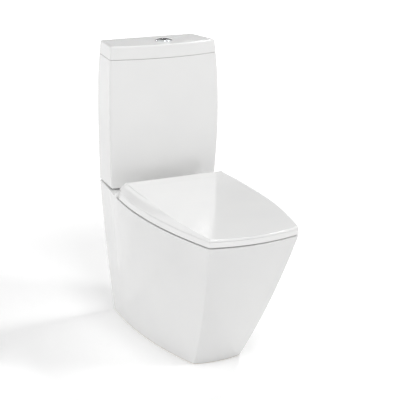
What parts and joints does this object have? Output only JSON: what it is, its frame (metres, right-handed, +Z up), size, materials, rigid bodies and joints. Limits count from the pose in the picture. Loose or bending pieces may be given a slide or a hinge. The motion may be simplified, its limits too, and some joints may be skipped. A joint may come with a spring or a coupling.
{
  "type": "close coupled toilet",
  "caption": "Floor-standing toilet with a tapered bowed pan, a hinged seat and lid, and a slim cistern on the pan's shelf with a push-button dual flush.",
  "frame": {"origin": "on the floor, under the middle of the object's outer box", "axes": "+Z up, the front faces -Y, the wall behind is at +Y, +X is to the right seen from the front"},
  "size_m": [0.3642, 0.687, 0.813],
  "materials": {
    "vitreous_china": "glossy white glaze",
    "seat_thermoset": "polished white moulding",
    "chromed_plastic": "bright chrome plate",
    "rubber": "matt",
    "zinc_steel": "zinc plate",
    "white_nylon": "satin moulding",
    "grey_acetal": "satin moulding"
  },
  "bodies": {
    "pan_and_cistern": {"pan": "vitreous_china", "pan_shelf_plate": "vitreous_china", "pan_flush_duct": "vitreous_china", "pan_bowl": "vitreous_china", "pan_trapway": "vitreous_china", "cistern": "vitreous_china", "hinge_washers": "rubber", "flush_valve_gasket": "rubber", "doughnut_seal": "rubber", "fill_valve_gasket": "rubber", "coupling_seals": "rubber", "cistern_pads": "rubber", "hinge_rod": "zinc_steel", "hinge_studs": "zinc_steel", "flush_lever_pin": "zinc_steel", "fill_valve_lever_pin": "zinc_steel", "coupling_bolts": "zinc_steel", "coupling_head_washers": "zinc_steel", "coupling_washers": "zinc_steel", "hinge_end_caps": "seat_thermoset", "hinge_pillars": "white_nylon", "hinge_wing_nuts": "white_nylon", "coupling_wing_nuts": "white_nylon", "flush_valve_base": "white_nylon", "flush_valve_backnut": "white_nylon", "flush_valve_cage": "white_nylon", "fill_valve_body": "white_nylon", "fill_valve_backnut": "white_nylon", "inlet_strainer": "white_nylon"},
    "seat_ring": {"seat_ring": "seat_thermoset", "ring_hinge_bushes": "white_nylon", "seat_buffers": "rubber"},
    "seat_lid": {"seat_lid": "seat_thermoset", "lid_hinge_bushes": "white_nylon", "lid_buffers": "rubber"},
    "cistern_lid": {"cistern_lid": "vitreous_china", "button_bezel": "chromed_plastic", "button_locknut": "white_nylon", "full_flush_spring": "zinc_steel", "half_flush_spring": "zinc_steel"},
    "full_button": {"full_flush_button": "chromed_plastic", "full_flush_rod": "white_nylon"},
    "half_button": {"half_flush_button": "chromed_plastic", "half_flush_rod": "white_nylon"},
    "flush_core": {"flush_valve_core": "grey_acetal", "flush_valve_seal": "rubber", "half_flush_float": "grey_acetal"},
    "flush_lever": {"flush_lever": "grey_acetal"},
    "fill_float": {"fill_valve_float": "grey_acetal"},
    "fill_lever": {"fill_valve_lever": "grey_acetal"}
  },
  "joints": [
    {"name": "seat_hinge", "type": "hinge", "parent": "pan_and_cistern", "child": "seat_ring", "pos_m": [0, 0.1495, 0.409], "axis": [1, 0, 0], "range_deg": [-91, 0]},
    {"name": "lid_hinge", "type": "hinge", "parent": "seat_ring", "child": "seat_lid", "pos_m": [0, 0.1495, 0.409], "axis": [-1, 0, 0], "range_deg": [0, 92]},
    {"name": "cistern_lid_lift", "type": "slide", "parent": "pan_and_cistern", "child": "cistern_lid", "axis": [0, 0, 1], "range_m": [0, 0.15]},
    {"name": "full_flush_press", "type": "slide", "parent": "cistern_lid", "child": "full_button", "axis": [0, 0, -1], "range_m": [0, 0.008], "stiffness_N_per_m": 300, "springref_m": -0.004, "deforming": ["full_flush_spring"]},
    {"name": "half_flush_press", "type": "slide", "parent": "cistern_lid", "child": "half_button", "axis": [0, 0, -1], "range_m": [0, 0.008], "stiffness_N_per_m": 300, "springref_m": -0.004, "deforming": ["half_flush_spring"]},
    {"name": "flush_core_lift", "type": "slide", "parent": "pan_and_cistern", "child": "flush_core", "axis": [0, 0, 1], "range_m": [0, 0.0113]},
    {"name": "flush_lever_tilt", "type": "hinge", "parent": "pan_and_cistern", "child": "flush_lever", "pos_m": [-0.034, 0.2675, 0.68], "axis": [0, -1, 0], "range_deg": [0, 40.3]},
    {"name": "fill_float_rise", "type": "slide", "parent": "pan_and_cistern", "child": "fill_float", "axis": [0, 0, 1], "range_m": [0, 0.012]},
    {"name": "fill_lever_tilt", "type": "hinge", "parent": "pan_and_cistern", "child": "fill_lever", "pos_m": [-0.091, 0.2815, 0.716], "axis": [0, -1, 0], "range_deg": [0, 27.6]}
  ],
  "couplings": [
    {"joint": "flush_core_lift", "follows": "full_flush_press", "ratio": 1.4},
    {"joint": "flush_lever_tilt", "follows": "full_flush_press", "rad_per_m": 87.5},
    {"joint": "fill_lever_tilt", "follows": "fill_float_rise", "rad_per_m": 40}
  ]
}
